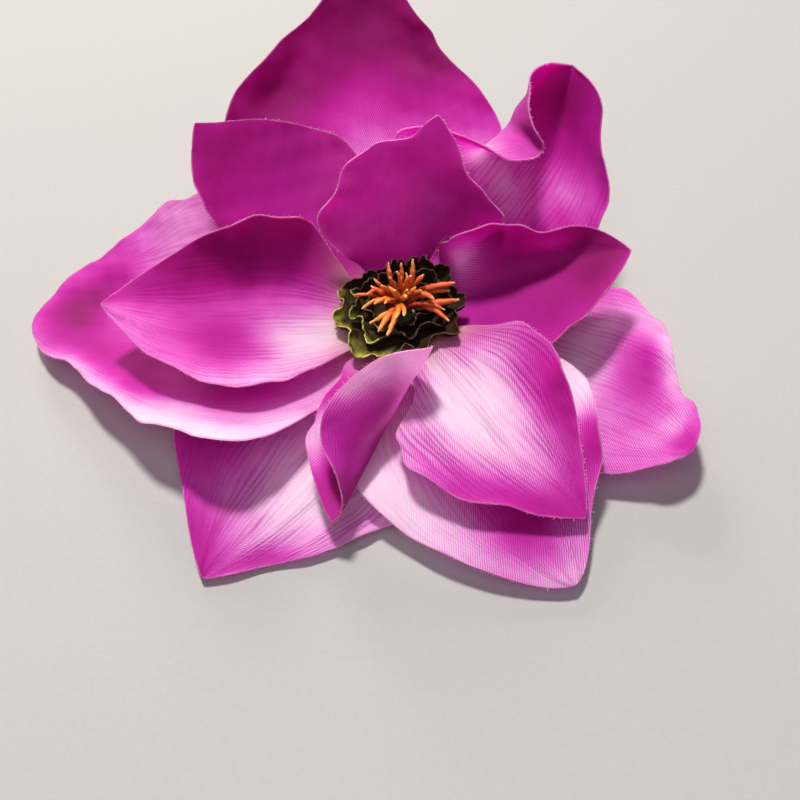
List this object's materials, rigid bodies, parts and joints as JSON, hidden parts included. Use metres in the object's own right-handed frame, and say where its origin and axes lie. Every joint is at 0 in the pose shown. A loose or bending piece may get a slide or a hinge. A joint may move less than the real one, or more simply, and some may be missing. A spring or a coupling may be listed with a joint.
{
  "type": "artificial magnolia flower head",
  "caption": "Open fabric magnolia head: layers of pointed pink petals on a moulded hub, with a ruffled collar and a bunch of stamens.",
  "frame": {"origin": "centre of the hub's flat underside, on the plane that the flower lies on", "axes": "+Z out of the flower's open face, along the hub's post; -Y towards the viewer of the picture, +X to the right in it"},
  "size_m": [0.1525, 0.1466, 0.0533],
  "materials": {
    "hub": "moulded olive green polyethylene",
    "petal_layer_1": "printed polyester satin, stiffened",
    "petal_layer_2": "printed polyester satin, stiffened",
    "petal_layer_3": "printed polyester satin, stiffened",
    "petal_layer_4": "printed polyester satin, stiffened",
    "collar": "crinkled brown and olive polyester",
    "stamens": "moulded orange plastic, paler at the tips"
  },
  "bodies": {
    "root": {"hub": "hub", "petal_layer_1": "petal_layer_1", "petal_layer_2": "petal_layer_2", "petal_layer_3": "petal_layer_3", "petal_layer_4": "petal_layer_4", "collar": "collar", "stamens": "stamens"}
  },
  "joints": []
}
